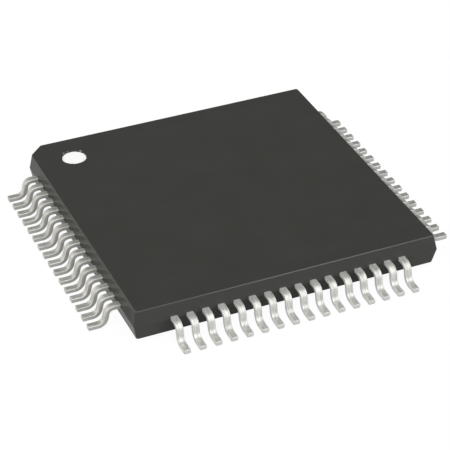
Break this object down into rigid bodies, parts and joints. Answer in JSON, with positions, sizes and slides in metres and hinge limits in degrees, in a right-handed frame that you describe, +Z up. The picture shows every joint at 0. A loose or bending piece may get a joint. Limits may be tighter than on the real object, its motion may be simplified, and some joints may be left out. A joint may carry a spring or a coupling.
{
  "type": "quad flat pack chip",
  "caption": "Thin square quad flat pack chip: dark moulded body with drafted walls, a cut corner and a white marker dot, gull-wing leads along every side, and a die, pad and bond wires inside.",
  "frame": {"origin": "on the board's surface, under the middle of the square body", "axes": "+Z up from the board, +Y to the back, +X to the right; pin 1 and the cut corner are at -X, +Y, and the pins count anticlockwise seen from above, starting down the -X side"},
  "size_m": [0.012, 0.012, 0.0011],
  "materials": {
    "moulding": "satin dark grey epoxy moulding compound",
    "ink": "flat white ink",
    "lead_plating": "satin tin plating on copper alloy",
    "bare_copper": "bare copper alloy sheet",
    "silicon": "polished silicon",
    "adhesive": "cured silver-filled adhesive",
    "gold_wire": "bright gold"
  },
  "bodies": {
    "root": {"moulded_body": "moulding", "pin1_ink_dot": "ink", "die": "silicon", "die_attach": "adhesive", "die_pad": "bare_copper", "leads_01_02": "lead_plating", "leads_03_04": "lead_plating", "leads_05_06": "lead_plating", "leads_07_08": "lead_plating", "leads_09_10": "lead_plating", "leads_11_12": "lead_plating", "leads_13_14": "lead_plating", "leads_15_16": "lead_plating", "leads_17_18": "lead_plating", "leads_19_20": "lead_plating", "leads_21_22": "lead_plating", "leads_23_24": "lead_plating", "leads_25_26": "lead_plating", "leads_27_28": "lead_plating", "leads_29_30": "lead_plating", "leads_31_32": "lead_plating", "leads_33_34": "lead_plating", "leads_35_36": "lead_plating", "leads_37_38": "lead_plating", "leads_39_40": "lead_plating", "leads_41_42": "lead_plating", "leads_43_44": "lead_plating", "leads_45_46": "lead_plating", "leads_47_48": "lead_plating", "leads_49_50": "lead_plating", "leads_51_52": "lead_plating", "leads_53_54": "lead_plating", "leads_55_56": "lead_plating", "leads_57_58": "lead_plating", "leads_59_60": "lead_plating", "leads_61_62": "lead_plating", "leads_63_64": "lead_plating", "bond_wires_01_04": "gold_wire", "bond_wires_05_08": "gold_wire", "bond_wires_09_12": "gold_wire", "bond_wires_13_16": "gold_wire", "bond_wires_17_20": "gold_wire", "bond_wires_21_24": "gold_wire", "bond_wires_25_28": "gold_wire", "bond_wires_29_32": "gold_wire", "bond_wires_33_36": "gold_wire", "bond_wires_37_40": "gold_wire", "bond_wires_41_44": "gold_wire", "bond_wires_45_48": "gold_wire", "bond_wires_49_52": "gold_wire", "bond_wires_53_56": "gold_wire", "bond_wires_57_60": "gold_wire", "bond_wires_61_64": "gold_wire"}
  },
  "joints": []
}
